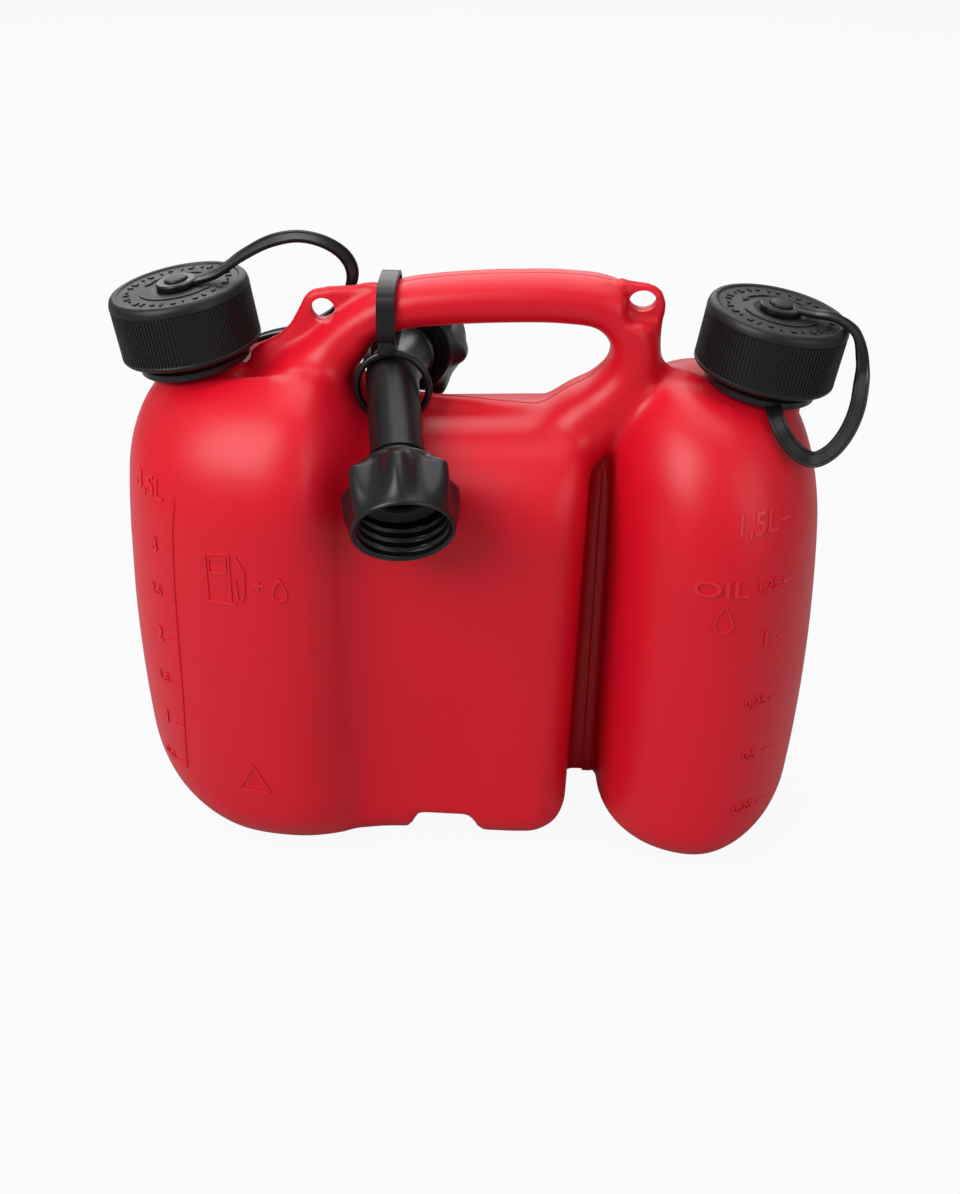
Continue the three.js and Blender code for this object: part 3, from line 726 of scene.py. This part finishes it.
# Caps

def cap_cover(name, neck, sizes):
    """A spun cover whose grip ribs are one beveled bar, copied round it."""
    lip = [(0, 33.3), (27.0, 33.3), (27.5, 32.8), (27.5, 9.6), (28.1, 8.6), (28.7, 8.6), (29.3, 9.4),
           (29.4, 10.4), (28.8, 11.0), (28.8, 31.0), (29.4, 31.6)]
    top = [(29.3, 32.4), (29.05, 33.4), (28.7, 34.3), (28.0, 35.1), (27.1, 35.5), (26.2, 35.5),
           (25.7, 35.35), (25.3, 34.9), (12.0, 34.9), (11.6, 35.0), (10.6, 35.0), (10.2, 34.9),
           (4.6, 34.9), (4.6, 38.0), (4.2, 38.5), (3.4, 38.7), (0, 38.7)]
    cover = turned(name, lip + top, 144, neck_frame(neck))
    clear_selection()
    pitch = 2 * math.pi * CAP_RADIUS / sizes.rib_count
    depth = sizes.rib_depth / MM
    bpy.ops.mesh.primitive_cube_add(
        size=1, location=(28.7 + depth / 2, 0, 21), scale=(depth, 0.56 * pitch, 20.4))
    rib = settle(bpy.context.object)
    modify(rib, "BEVEL", width=0.16, segments=1)
    round_the_cap = 2 * math.pi * (1 - 1 / sizes.rib_count)
    edit(rib, spun(sizes.rib_count - 1, round_the_cap, copies=True), everything, outwards)
    return one_piece([cover, moved(rib, neck_frame(neck))], name)


def arc_bar(place, radius, start, end, width, low, high, head=0.0):
    """A flat raised bar on an arc round a cap's top, with an arrow head where one is asked for."""
    inner, outer = radius - width / 2, radius + width / 2
    sweep_angle = math.radians(end - start)
    bar = outline("bar", [(inner, 0, low), (outer, 0, low), (outer, 0, high), (inner, 0, high)], "NGON")
    edit(bar, spun(max(3, int(abs(end - start) / 6)), sweep_angle), everything, outwards)
    parts = [moved(bar, place @ Matrix.Rotation(math.radians(start), 4, "Z"))]
    if head:
        ahead = 14 * math.copysign(1, end - start)
        point = (radius * math.cos(math.radians(ahead)), radius * math.sin(math.radians(ahead)), low)
        tip = outline("arrow_head", [(inner - head, 0, low), (outer + head, 0, low), point], "NGON")
        edit(tip, drawn_out(0, 0, high - low), everything, outwards)
        parts.append(moved(tip, place @ Matrix.Rotation(math.radians(end), 4, "Z")))
    return one_piece(parts, "bar")


def cap_marks(name, neck):
    """Arrows and short bars that show which way the cap turns, without words."""
    low, high = 34.6, 35.35
    place = neck_frame(neck)
    bars = [arc_bar(place, 15.6, 200, 330, 1.0, low, high, 1.1),
            arc_bar(place, 15.6, 20, 150, 1.0, low, high, 1.1)]
    for start in range(0, 360, 12):
        width = 2.6 if start % 36 else 1.0
        bars.append(arc_bar(place, 21.4, start, start + (5.2 if start % 24 else 2.4), width, low, high))
    return one_piece(bars, name)


class CAN_OT_caps(bpy.types.Operator):
    """Builds the ribbed covers of both caps with their raised arrows, over the CAD cores and seals"""

    bl_idname = "can.caps"
    bl_label = "Caps"

    def execute(self, context):
        sizes = context.scene.can_sizes
        for side, neck in (("fuel", FUEL_NECK), ("oil", OIL_NECK)):
            cover = cap_cover(f"{side}_cap_ribbed_cover", neck, sizes)
            finish(cover, "cap", f"{side}_cap_button", 30)
            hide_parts(f"{side}_cap_cover")
            marks = cap_marks(f"{side}_cap_arrows", neck)
            finish(marks, "cap", f"{side}_cap_button", 30)
        return {"FINISHED"}


# Tethers

FUEL_TETHER = [
    (-115.6, 0, 246.4, 0, 1, 0.1), (-105, 0.8, 250, 0, 1, 0.25), (-94, 3, 257.2, 0, 1, 0.35),
    (-83, 6.6, 262.2, 0, 1, 0.4), (-72, 10.5, 263.2, 0, 1, 0.3), (-61.4, 14, 259.6, 0.25, 1, 0.2),
    (-54, 17.2, 252.8, 0.5, 1, 0), (-51.6, 19.6, 244.6, 0.6, 1, 0), (-54.4, 20.4, 235.4, 0.5, 1, 0),
    (-62, 19.6, 227.4, 0.3, 1, 0), (-74, 16, 221.6, 0.2, 1, 0), (-86.5, 12.6, 219.4, 0.2, 1, 0),
    (-97, 9.6, 216.4, 0.2, 1, 0),
]
OIL_TETHER = [
    (131.6, -1.6, 242.6, 0.1, 1, 0), (137.6, -3.4, 242, 0.1, 1, 0), (145.8, -6, 241.6, 0.15, 1, 0),
    (154.2, -9.6, 237, 0.4, 1, 0), (157.6, -14, 226.8, 0.8, 0.8, 0), (157.6, -18.4, 217, 1, 0.2, 0),
    (156.2, -22.4, 208, 1, 0, -0.25), (152.2, -27, 199.6, 0.8, -0.2, -0.6),
    (146.4, -31, 193.8, 0.4, -0.4, -1), (140.2, -33.4, 191.6, 0.05, -0.45, -1),
    (133.8, -35.4, 195, -0.5, -0.4, -0.9), (128.2, -34.4, 200.4, -0.8, -0.3, -0.5),
    (124.4, -29, 206.2, -1, -0.1, -0.4), (122.4, -20.6, 210.4, -1, 0, -0.1),
]
RIBBON = np.array([
    (-1, -0.5), (-0.92, -1), (-0.62, -1), (-0.52, -0.55), (0.52, -0.55), (0.62, -1), (0.92, -1),
    (1, -0.5), (1, 0.5), (0.92, 1), (0.62, 1), (0.52, 0.55), (-0.52, 0.55), (-0.62, 1), (-0.92, 1),
    (-1, 0.5),
])
RIBBON_HALF_WIDTH = 3.3
RIBBON_HALF_THICKNESS = 0.95


def tether(name, neck, line):
    place = neck_frame(neck)
    ring = turned("ring", [
        (17.75, 2.3), (18.15, 1.9), (22.8, 1.9), (23.2, 2.3),
        (23.2, 4.8), (22.5, 5.5), (18.15, 5.5), (17.75, 5.1),
    ], 72, place)
    pad = turned("pad", [
        (4.9, 35.5), (5.2, 35.2), (8.3, 35.2), (8.6, 35.5),
        (8.6, 37.0), (8.0, 37.6), (5.3, 37.6), (4.9, 37.2),
    ], 48, place)
    stations = [
        (np.array(s[:3], float), s[3:], RIBBON_HALF_WIDTH, RIBBON_HALF_THICKNESS) for s in line]
    ribbon = sweep("ribbon", stations, 150, RIBBON)
    return one_piece([ring, pad, ribbon], name)


class CAN_OT_tethers(bpy.types.Operator):
    """Builds both tethers: a ring round the neck, a grooved ribbon and an eye on the cap's stud"""

    bl_idname = "can.tethers"
    bl_label = "Tethers"

    def execute(self, context):
        for side, neck, line in (("fuel", FUEL_NECK, FUEL_TETHER), ("oil", OIL_NECK, OIL_TETHER)):
            piece = tether(f"{side}_tether_strap", neck, line)
            finish(piece, "black", None, 30)
            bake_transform(piece)
            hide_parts(f"{side}_cap_tether")
        return {"FINISHED"}


# Spout

FRONT_NUT_AT = 51.0
REAR_NUT_AT = 43.0
BEND_RADIUS = 15.0
TUBE_RADIUS = 11.0
TUBE_WALL = 1.8
TUBE_PAST_NUT = 9.5
NUT_LOBES = 7
NUT_BORE = 18.9
NUT_THROAT = 11.4
BAND_X = -34.0
HOOP_Y = -14.2
HOOP_RADIUS = 14.9
HOOP_THICKNESS = 1.5
NUT_KEYS = [
    (0.0, 17.6, 17.6), (0.6, 18.0, 18.2), (2.4, 18.3, 19.4), (4.4, 18.6, 22.2), (6.2, 19.1, 23.8),
    (7.2, 19.3, 24.1), (13.0, 19.8, 23.9), (17.5, 20.1, 23.3), (21.0, 20.4, 22.5), (25.0, 20.7, 21.3),
    (27.2, 20.8, 20.8), (28.1, 20.7, 20.7), (28.5, 20.3, 20.3),
]


def elbow_tube(name):
    """A round tube drawn out along the front leg, spun round the bend and drawn out along the rear leg."""
    turn = math.acos(float(-FRONT_DIR @ REAR_DIR))
    reach = BEND_RADIUS * math.tan(turn / 2)
    start, end = ELBOW + FRONT_DIR * reach, ELBOW + REAR_DIR * reach
    front_end = ELBOW + FRONT_DIR * (FRONT_NUT_AT + TUBE_PAST_NUT)
    rear_end = ELBOW + REAR_DIR * (REAR_NUT_AT + TUBE_PAST_NUT)
    axis = unit(np.cross(-FRONT_DIR, REAR_DIR))
    centre = start + BEND_RADIUS * unit(np.cross(axis, -FRONT_DIR))
    clear_selection()
    bpy.ops.mesh.primitive_circle_add(vertices=64, radius=TUBE_RADIUS, location=(0, 0, 0))
    tube = bpy.context.object
    tube.data.transform(leg_frame(FRONT_DIR, FRONT_NUT_AT + TUBE_PAST_NUT))
    bend = spun(20, turn, centre=tuple(centre), axis=tuple(axis))
    edit(tube, drawn_out(*(start - front_end)), bend, drawn_out(*(rear_end - end)), everything,
         doubles(0.001), outwards)
    modify(tube, "SOLIDIFY", thickness=TUBE_WALL, offset=-1.0)
    pieces = [moved(tube)]
    flange = [(10.5, 7.3), (16.9, 7.3), (17.5, 7.7), (17.8, 8.3), (17.8, 9.6), (17.5, 9.9), (10.5, 9.9)]
    ridge = [(10.8, -9.0), (11.9, -8.4), (11.9, -6.6), (10.8, -6.0)]
    for direction, at in ((FRONT_DIR, FRONT_NUT_AT), (REAR_DIR, REAR_NUT_AT)):
        pieces.append(turned("flange", flange, 64, leg_frame(direction, at)))
        pieces.append(turned("stop_ridge", ridge, 64, leg_frame(direction, at)))
    return one_piece(pieces, name)


def union_nut(name, direction, at, sizes):
    count = NUT_LOBES * 24
    angles = np.arange(count) * 2 * math.pi / count
    keys = np.array(NUT_KEYS)
    pitch = sizes.thread_pitch / MM
    turn = np.array(leg_frame(direction, at).to_3x3())
    rings = []

    def ring(radii, height):
        flat = np.stack([radii * np.cos(angles), radii * np.sin(angles), np.full(count, float(height))], 1)
        rings.append(flat @ turn.T + ELBOW + direction * at)

    lobe = (0.5 + 0.5 * np.cos(NUT_LOBES * angles)) ** 1.35
    heights = np.r_[np.linspace(0, 7.6, 12), np.linspace(8.6, 24.8, 10), np.linspace(25.6, 28.5, 7)]
    for height in heights:
        valley = np.interp(height, keys[:, 0], keys[:, 1])
        tip = np.interp(height, keys[:, 0], keys[:, 2])
        ring(valley + (tip - valley) * lobe, height)
    for height in np.linspace(28.5, 12.4, 44):
        phase = (height / pitch - angles / (2 * math.pi)) % 1.0
        ridge = np.clip(1 - np.abs(phase - 0.5) * 3.4, 0, 1) * float(smooth(28.2, 27.0, height))
        flare = 0.7 * float(smooth(27.6, 28.5, height))
        ring(NUT_BORE + flare - 1.15 * ridge * float(smooth(12.4, 14.0, height)), height)
    ring(np.full(count, NUT_BORE), 7.0)
    ring(np.full(count, NUT_THROAT), 7.0)
    ring(np.full(count, NUT_THROAT), 0.3)
    ring(np.full(count, 11.8), 0.0)
    return skin(name, rings, closed=True)


def strap(name):
    band = superellipse(72, 3.0)
    section = [(-3.75, 0.0), (-3.55, 0.2), (3.55, 0.2), (3.75, 0.0),
               (3.75, 1.6), (3.55, 1.8), (-3.55, 1.8), (-3.75, 1.6)]
    rings = []
    for x, grow in section:
        rings.append(np.stack([np.full(72, BAND_X + x), band[:, 0] * (15.2 + grow),
                               236.9 + band[:, 1] * (12.7 + grow)], 1))
    loop = skin("band", rings, closed=True)
    cross = ELBOW + FRONT_DIR * ((HOOP_Y - ELBOW[1]) / FRONT_DIR[1])
    clear_selection()
    bpy.ops.mesh.primitive_torus_add(
        major_segments=72, minor_segments=16, major_radius=HOOP_RADIUS, minor_radius=HOOP_THICKNESS,
        location=(cross[0], HOOP_Y, cross[2]), rotation=(math.pi / 2, 0, 0))
    ring = moved(bpy.context.object)
    clear_selection()
    middle = np.array([BAND_X, -13.6, cross[2] + 17.2]) * MM + SHIFT
    bpy.ops.mesh.primitive_cube_add(size=1, location=middle, scale=(0.0074, 0.0044, 0.0066))
    head = settle(bpy.context.object)
    modify(head, "BEVEL", width=0.0008, segments=3)
    return one_piece([loop, ring, head], name)


class CAN_OT_spout(bpy.types.Operator):
    """Builds the elbow spout, its two union nuts with inner threads and the strap on the handle"""

    bl_idname = "can.spout"
    bl_label = "Spout and strap"

    def execute(self, context):
        sizes = context.scene.can_sizes
        tube = finish(elbow_tube("elbow_tube"), "black", "can", 40)
        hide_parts("spout_tube")
        for end, direction, at in (("front", FRONT_DIR, FRONT_NUT_AT), ("rear", REAR_DIR, REAR_NUT_AT)):
            nut = union_nut(f"{end}_union_nut", direction, at, sizes)
            finish(nut, "black", f"{end}_nut", 40)
            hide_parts(f"spout_nut_{end}")
        band = finish(strap("handle_strap"), "black", "can", 35)
        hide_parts("spout_strap")
        return {"FINISHED"}


# Marks

# How far the foot of a mark sinks into the body, in metres
MARK_FOOT = -0.0004


class Surface:
    """Finds the body's front face under a place of the drawing."""

    def __init__(self, body):
        mesh = body.data
        faces = [p.vertices for p in mesh.polygons]
        self.tree = BVHTree.FromPolygons([v.co for v in mesh.vertices], faces)

    def front(self, x, z):
        place = np.array([x, 0, z]) * MM + SHIFT
        hit = self.tree.ray_cast(Vector((place[0], -1.0, place[2])), Vector((0, 1, 0)))
        if hit[0] is None:
            raise RuntimeError(f"no body surface under the mark at {x}, {z}")
        return hit[0].y


def raised_line(surface, points, width, height):
    """A raised line on the body along points of X and Z, with a flat top and sloped sides."""
    dense = [np.array(points[0], float)]
    for a, b in zip(points[:-1], points[1:]):
        a, b = np.array(a, float), np.array(b, float)
        steps = max(1, int(np.linalg.norm(b - a) / 2.5))
        dense += [a + (b - a) * i / steps for i in range(1, steps + 1)]
    verts, faces = [], []
    for i, at in enumerate(dense):
        forward = unit(dense[min(i + 1, len(dense) - 1)] - dense[max(i - 1, 0)])
        side = np.array([-forward[1], forward[0]]) * width / 2
        depth = surface.front(*at)
        for offset, rise in ((-1.25, MARK_FOOT), (-0.8, height), (0.8, height), (1.25, MARK_FOOT)):
            x, z = at + side * offset
            verts.append((x * MM + SHIFT[0], depth - rise, z * MM))
    count = len(dense)
    for i in range(count - 1):
        for k in range(4):
            m = (k + 1) % 4
            faces.append((4 * i + k, 4 * i + m, 4 * i + 4 + m, 4 * i + 4 + k))
    faces += [(3, 2, 1, 0), tuple(4 * count - 4 + k for k in range(4))]
    mesh = bpy.data.meshes.new("line")
    mesh.from_pydata(verts, [], faces)
    piece = bpy.data.objects.new("line", mesh)
    bpy.context.scene.collection.objects.link(piece)
    return edit(piece, outwards)


def raised_text(surface, words, x, z, size, height, stretch=1.0):
    """Raised numerals that follow the body, centred on X and Z."""
    clear_selection()
    bpy.ops.object.text_add()
    text = bpy.context.object
    text.data.body = words
    text.data.size = size
    text.data.extrude = 0.5
    text.data.offset = 0.1 if size > 7 else 0.02
    text.data.resolution_u = 3
    text.data.align_x = "CENTER"
    text.data.align_y = "CENTER"
    bpy.ops.object.convert(target="MESH")
    piece = bpy.context.object
    edit(piece, doubles(1e-4), lambda: bpy.ops.mesh.quads_convert_to_tris())
    for vertex in piece.data.vertices:
        at_x, at_z = x + vertex.co.x * stretch, z + vertex.co.y
        rise = height if vertex.co.z > 0 else MARK_FOOT
        vertex.co = (at_x * MM + SHIFT[0], surface.front(at_x, at_z) - rise, at_z * MM)
    return edit(piece, outwards)


def drop_outline(x, z, width, height):
    angles = np.linspace(0, 2 * math.pi, 25)
    across = np.sin(angles) * np.abs(np.sin(angles / 2)) ** 1.5 / 0.78
    return [(x + width / 2 * u, z + height / 2 * math.cos(a)) for u, a in zip(across, angles)]


class CAN_OT_marks(bpy.types.Operator):
    """Builds the raised litre scales, the fuel mix sign and the oil sign on the front"""

    bl_idname = "can.marks"
    bl_label = "Raised marks"

    def execute(self, context):
        surface = Surface(bpy.data.objects["can_body"])
        rise = context.scene.can_sizes.mark_height
        scale = [(-117.2, 172), (-119.1, 160), (-120.6, 134), (-121.8, 78), (-124.1, 36)]
        parts = [raised_line(surface, scale, 0.8, rise)]
        ticks = [(173.4, -117.4, "3,5L", 11.5), (148.5, -120, "3", 9.5), (126.9, -121.2, "2,5", 6.6),
                 (104.9, -121.6, "2", 10), (82.5, -122, "1,5", 6.6), (59.8, -123, "1", 10),
                 (37.9, -124, "0,5", 6.6)]
        for z, x, words, size in ticks:
            parts.append(raised_line(surface, [(x, z), (x - 4.5, z)], 0.8, rise))
            reach = 13.0 if words == "3,5L" else 9.0
            parts.append(raised_text(surface, words, x - reach, z + 0.4, size, rise, 0.75))
        pump = [(-104.6, 132.5), (-104.6, 153), (-94.4, 155), (-94.4, 133)]
        parts.append(raised_line(surface, pump, 1.0, rise))
        parts.append(raised_line(surface, [(-107, 131.2), (-92.4, 131.8)], 1.2, rise))
        window = [(-103.2, 145), (-95.8, 146), (-95.8, 152.6), (-103.2, 151.4), (-103.2, 145)]
        parts.append(raised_line(surface, window, 0.8, rise))
        hose = [(-93.8, 143), (-92.2, 143), (-91.4, 134), (-89.6, 133.6), (-88.6, 137), (-88.2, 148),
                (-91.6, 154)]
        parts.append(raised_line(surface, hose, 0.9, rise))
        parts.append(raised_line(surface, [(-84.8, 142), (-80.2, 142)], 1.0, rise))
        parts.append(raised_line(surface, [(-82.5, 139.7), (-82.5, 144.3)], 1.0, rise))
        parts.append(raised_line(surface, drop_outline(-73.8, 140.6, 6.4, 10.6), 0.9, rise))
        triangle = [(-90.6, 49.4), (-98, 35.6), (-83.4, 35.2), (-90.6, 49.4)]
        parts.append(raised_line(surface, triangle, 1.0, rise))
        finish(one_piece(parts, "fuel_marks"), "marks", "can", 25)

        rows = [(172.4, "1,5L", 12.5), (147, "1,25", 6.6), (121.6, "1", 11), (91.4, "0,75", 6.6),
                (63.6, "0,5", 6.6), (34.6, "0,25", 6.6)]
        parts = []
        for z, words, size in rows:
            right = 135.0 if z < 150 else 131.5
            reach = {"1,5L": 14.0, "1": 9.5}.get(words, 11.0)
            parts.append(raised_line(surface, [(right - 4.4, z), (right, z - 0.4)], 0.8, rise))
            parts.append(raised_text(surface, words, right - reach, z + 0.6, size, rise, 0.85))
        parts.append(raised_text(surface, "OIL", 104.8, 147.4, 10.4, rise * 1.3, 1.45))
        parts.append(raised_line(surface, drop_outline(106.8, 134.4, 8.2, 13.0), 1.0, rise))
        finish(one_piece(parts, "oil_marks"), "marks", "can", 25)
        return {"FINISHED"}


class CAN_OT_inner_finishes(bpy.types.Operator):
    """Gives the CAD cores and seals their finishes"""

    bl_idname = "can.inner_finishes"
    bl_label = "Cores and seals"

    def execute(self, context):
        for name, node in frame["nodes"].items():
            kind = "rubber" if "seal" in name else "black"
            node.data.materials.clear()
            node.data.materials.append(FINISHES[kind].material)
        return {"FINISHED"}


# The camera's focal length and the photograph's height in its pixels, and the sensor's in millimetres
FOCAL_LENGTH_PX = 1599
PHOTO_HEIGHT_PX = 1194
SENSOR_MM = 36


class CAN_OT_stage(bpy.types.Operator):
    """Sets the floor, the lights, the background and the camera"""

    bl_idname = "can.stage"
    bl_label = "Studio stage"

    def execute(self, context):
        scene = context.scene
        scene.view_settings.view_transform = "Standard"
        clear_selection()
        bpy.ops.mesh.primitive_plane_add(size=8, location=(0, 0, 0))
        floor = bpy.context.object
        floor.name = "studio_floor"
        floor.data.materials.append(FINISHES["floor"].material)
        world = bpy.data.worlds.new("studio")
        world.use_nodes = True
        tree = world.node_tree
        back = tree.nodes["Background"]
        back.inputs[0].default_value = (1, 1, 1, 1)
        path = tree.nodes.new("ShaderNodeLightPath")
        seen = Wire(tree, path.outputs["Is Camera Ray"])
        tree.links.new((0.32 + seen * 0.68).socket, back.inputs[1])
        scene.world = world
        lamps = [
            ("key", (-0.95, -0.85, 1.25), 1.1, 26.0), ("fill", (1.2, -1.0, 0.9), 1.2, 7.0),
            ("top", (0.1, 0.35, 1.5), 1.2, 9.0), ("back", (-0.25, 1.35, 1.0), 1.4, 12.0),
        ]
        aim = Vector((0, 0, 0.13))
        for name, place, size, power in lamps:
            bpy.ops.object.light_add(type="AREA", location=place)
            lamp = bpy.context.object
            lamp.name = f"{name}_light"
            lamp.data.size = size
            lamp.data.energy = power
            lamp.rotation_euler = (aim - Vector(place)).to_track_quat("-Z", "Y").to_euler()
        data = bpy.data.cameras.new("camera")
        camera = bpy.data.objects.new("camera", data)
        scene.collection.objects.link(camera)
        data.lens = FOCAL_LENGTH_PX / PHOTO_HEIGHT_PX * SENSOR_MM
        data.clip_start, data.clip_end = 0.01, 20
        place = Vector(np.array([38.26, -620.37, 473.62]) * MM + SHIFT)
        axes = Matrix((
            (0.99814, -0.03921, 0.04670),
            (0.06021, 0.51292, -0.85632),
            (0.00962, 0.85754, 0.51433)))
        camera.matrix_world = Matrix.Translation(place) @ axes.to_4x4()
        scene.camera = camera
        return {"FINISHED"}


class CAN_PT_panel(bpy.types.Panel):
    """Lists the sizes, the colours and the steps"""

    bl_label = "Dual fuel and oil can"
    bl_idname = "CAN_PT_panel"
    bl_space_type = "VIEW_3D"
    bl_region_type = "UI"
    bl_category = "Can"

    def draw(self, context):
        layout = self.layout
        for group in (context.scene.can_sizes, context.scene.can_colours):
            for name in group.__annotations__:
                layout.prop(group, name)
        for step in STEPS:
            layout.operator(step.bl_idname)


STEPS = (CAN_OT_body, CAN_OT_caps, CAN_OT_tethers, CAN_OT_spout, CAN_OT_marks, CAN_OT_inner_finishes,
         CAN_OT_stage)
CLASSES = (CanSizes, CanColours, *STEPS, CAN_PT_panel)


def register():
    for made in CLASSES:
        bpy.utils.register_class(made)
    bpy.types.Scene.can_sizes = bpy.props.PointerProperty(type=CanSizes)
    bpy.types.Scene.can_colours = bpy.props.PointerProperty(type=CanColours)


def unregister():
    del bpy.types.Scene.can_colours
    del bpy.types.Scene.can_sizes
    for made in reversed(CLASSES):
        bpy.utils.unregister_class(made)


def main():
    register()
    make_finishes(bpy.context.scene.can_colours)
    bpy.ops.can.body()
    bpy.ops.can.caps()
    bpy.ops.can.tethers()
    bpy.ops.can.spout()
    bpy.ops.can.marks()
    bpy.ops.can.inner_finishes()
    bpy.ops.can.stage()


if __name__ == "__main__":
    main()
